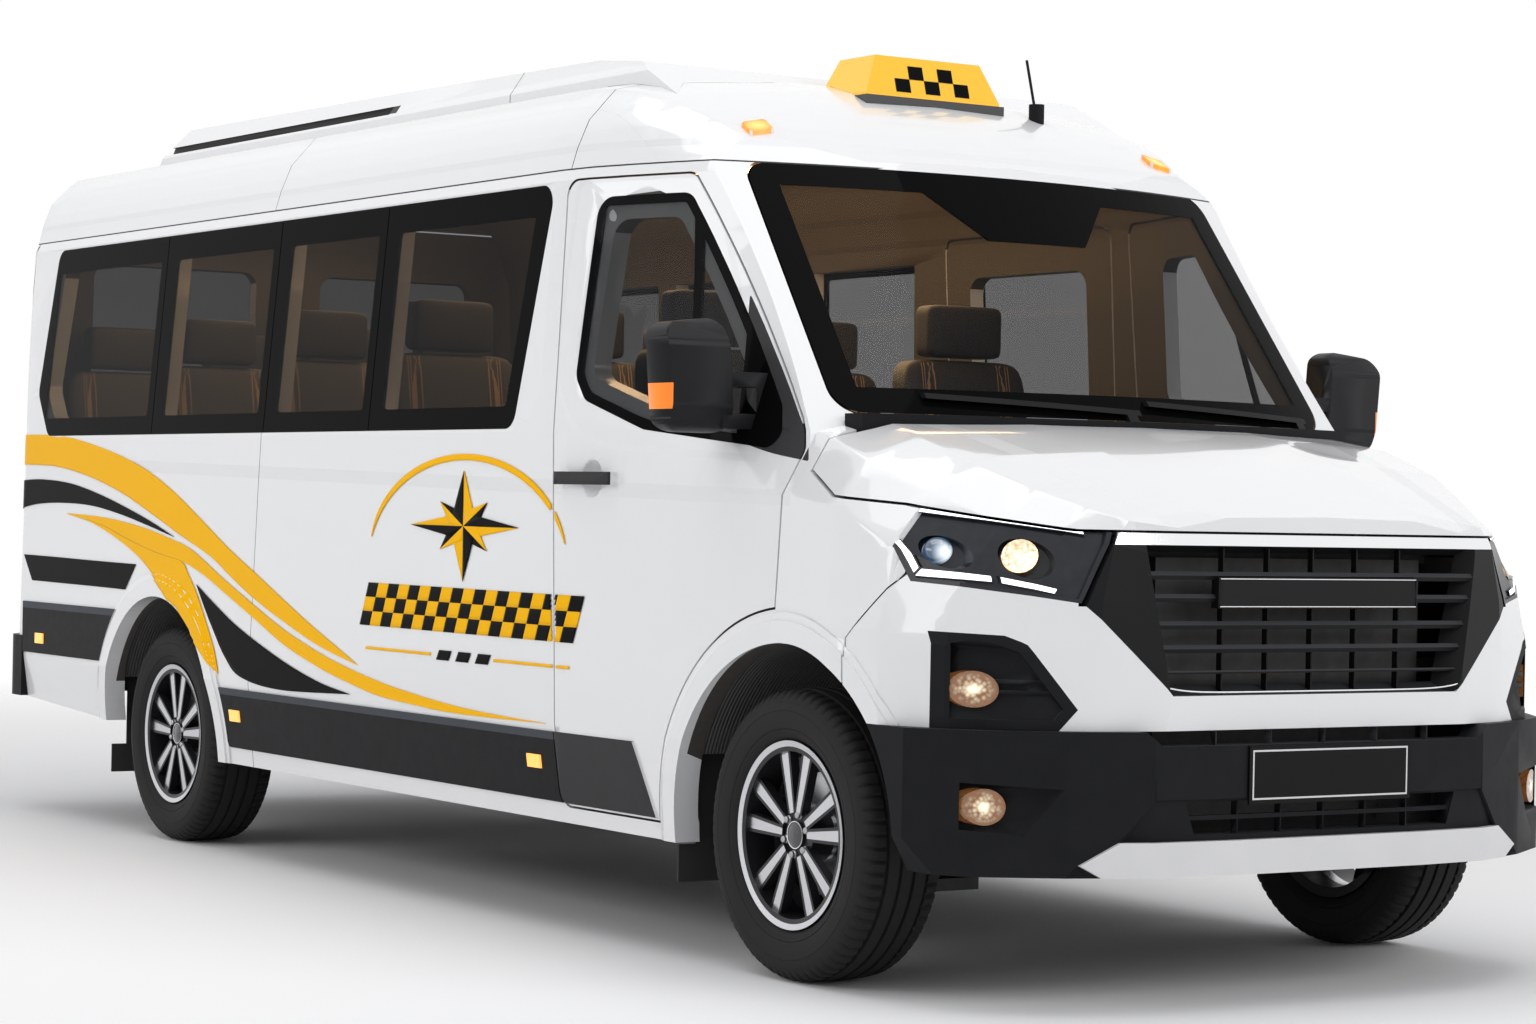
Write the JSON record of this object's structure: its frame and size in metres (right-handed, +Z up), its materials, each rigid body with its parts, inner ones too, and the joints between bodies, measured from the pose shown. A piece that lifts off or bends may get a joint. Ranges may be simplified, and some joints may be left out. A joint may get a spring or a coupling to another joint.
{
  "type": "minibus taxi cab",
  "caption": "High-roof minibus taxi with glazed passenger cabin, roof pod and taxi sign, hinged doors and bonnet, steered front wheels.",
  "frame": {"origin": "on the road, midway along and across the vehicle", "axes": "+X forwards, +Y to the vehicle left, +Z up"},
  "size_m": [5.9595, 2.3636, 2.4311],
  "materials": {
    "white_paint": "gloss white",
    "tinted_glass": "dark tinted",
    "lamp_lens": "clear lens",
    "red_lens": "red lens",
    "amber_lens": "amber lens",
    "dark_plastic": "satin dark grey",
    "silver_trim": "silver satin",
    "plate_black": "blank black plate",
    "floor_grey": "grey",
    "chassis_steel": "black painted steel",
    "flap_rubber": "matt rubber",
    "tyre": "tyre rubber",
    "alloy": "machined and dark alloy",
    "yellow_plastic": "yellow",
    "interior_plastic": "dark grained",
    "seat_leather": "dark leather",
    "seat_frame": "dark plastic shell",
    "warm_light": "warm light strip"
  },
  "bodies": {
    "root": {"antenna": "dark_plastic", "ceiling_lights": "warm_light", "chassis_frame": "chassis_steel", "cladding": "dark_plastic", "cowl": "dark_plastic", "dashboard": "interior_plastic", "engine": "chassis_steel", "floor_pan": "floor_grey", "fog_housings": "dark_plastic", "fog_lamps": "lamp_lens", "front_bumper": "dark_plastic", "front_carrier": "chassis_steel", "front_panel": "white_paint", "front_suspension": "chassis_steel", "front_wings": "white_paint", "grille": "dark_plastic", "headlamps": "lamp_lens", "marker_lamps": "amber_lens", "mud_flaps": "flap_rubber", "number_plate": "plate_black", "rear_axle": "chassis_steel", "rear_bumper": "dark_plastic", "roof": "white_paint", "roof_pod": "white_paint", "roof_sign": "yellow_plastic", "seat_bases": "seat_frame", "seat_cushions": "seat_leather", "side_glass": "tinted_glass", "side_wall_left": "white_paint", "side_wall_right": "white_paint", "skid_bar": "silver_trim", "tail_frame": "white_paint", "tail_lamps": "red_lens", "windshield": "tinted_glass", "wipers": "dark_plastic"},
    "front_door_right": {"front_door_right": "white_paint", "front_door_right_glass": "tinted_glass", "mirror_right": "dark_plastic"},
    "front_door_left": {"front_door_left": "white_paint", "front_door_left_glass": "tinted_glass", "mirror_left": "dark_plastic"},
    "passenger_door": {"passenger_door": "white_paint", "passenger_door_glass": "tinted_glass"},
    "rear_door_right": {"rear_door_right": "white_paint", "rear_door_right_glass": "tinted_glass"},
    "rear_door_left": {"rear_door_left": "white_paint", "rear_door_left_glass": "tinted_glass"},
    "bonnet": {"bonnet": "white_paint"},
    "knuckle_right": {"knuckle_right": "chassis_steel"},
    "knuckle_left": {"knuckle_left": "chassis_steel"},
    "wheel_front_right": {"tyre_front_right": "tyre", "rim_front_right": "alloy"},
    "wheel_front_left": {"tyre_front_left": "tyre", "rim_front_left": "alloy"},
    "wheel_rear_right": {"tyre_rear_right": "tyre", "rim_rear_right": "alloy"},
    "wheel_rear_left": {"tyre_rear_left": "tyre", "rim_rear_left": "alloy"},
    "steering_wheel": {"steering_wheel": "interior_plastic"}
  },
  "joints": [
    {"name": "steer_right", "type": "hinge", "parent": "root", "child": "knuckle_right", "pos_m": [2.13, -0.775, 0.356], "axis": [0, 0, 1], "range_deg": [-35, 35]},
    {"name": "steer_left", "type": "hinge", "parent": "root", "child": "knuckle_left", "pos_m": [2.13, 0.775, 0.356], "axis": [0, 0, 1], "range_deg": [-35, 35]},
    {"name": "steering_wheel_turn", "type": "hinge", "parent": "root", "child": "steering_wheel", "pos_m": [1.57, -0.44, 1.18], "axis": [-0.8829, 0, 0.4695], "range_deg": [-540, 540]},
    {"name": "wheel_front_right_spin", "type": "hinge", "parent": "knuckle_right", "child": "wheel_front_right", "pos_m": [2.13, -0.872, 0.356], "axis": [0, 1, 0], "continuous": true},
    {"name": "wheel_front_left_spin", "type": "hinge", "parent": "knuckle_left", "child": "wheel_front_left", "pos_m": [2.13, 0.872, 0.356], "axis": [0, 1, 0], "continuous": true},
    {"name": "wheel_rear_right_spin", "type": "hinge", "parent": "root", "child": "wheel_rear_right", "pos_m": [-1.57, -0.872, 0.356], "axis": [0, 1, 0], "continuous": true},
    {"name": "wheel_rear_left_spin", "type": "hinge", "parent": "root", "child": "wheel_rear_left", "pos_m": [-1.57, 0.872, 0.356], "axis": [0, 1, 0], "continuous": true},
    {"name": "front_door_right_swing", "type": "hinge", "parent": "root", "child": "front_door_right", "pos_m": [2.046, -1.006, 0.9], "axis": [0, 0, 1], "range_deg": [0, 70]},
    {"name": "front_door_left_swing", "type": "hinge", "parent": "root", "child": "front_door_left", "pos_m": [2.046, 1.006, 0.9], "axis": [0, 0, -1], "range_deg": [0, 70]},
    {"name": "passenger_door_swing", "type": "hinge", "parent": "root", "child": "passenger_door", "pos_m": [0.922, 1.046, 0.9], "axis": [0, 0, -1], "range_deg": [0, 85]},
    {"name": "rear_door_right_swing", "type": "hinge", "parent": "root", "child": "rear_door_right", "pos_m": [-2.93587, -0.905, 0.64], "axis": [0.0408, 0, 0.9992], "range_deg": [0, 180]},
    {"name": "rear_door_left_swing", "type": "hinge", "parent": "root", "child": "rear_door_left", "pos_m": [-2.93587, 0.905, 0.64], "axis": [-0.0408, 0, -0.9992], "range_deg": [0, 180]},
    {"name": "bonnet_lift", "type": "hinge", "parent": "root", "child": "bonnet", "pos_m": [2.15, 0, 1.402], "axis": [0, -1, 0], "range_deg": [0, 50]}
  ],
  "couplings": [
    {"joint": "steer_left", "follows": "steer_right", "ratio": 1},
    {"joint": "steering_wheel_turn", "follows": "steer_right", "ratio": 15.4}
  ]
}
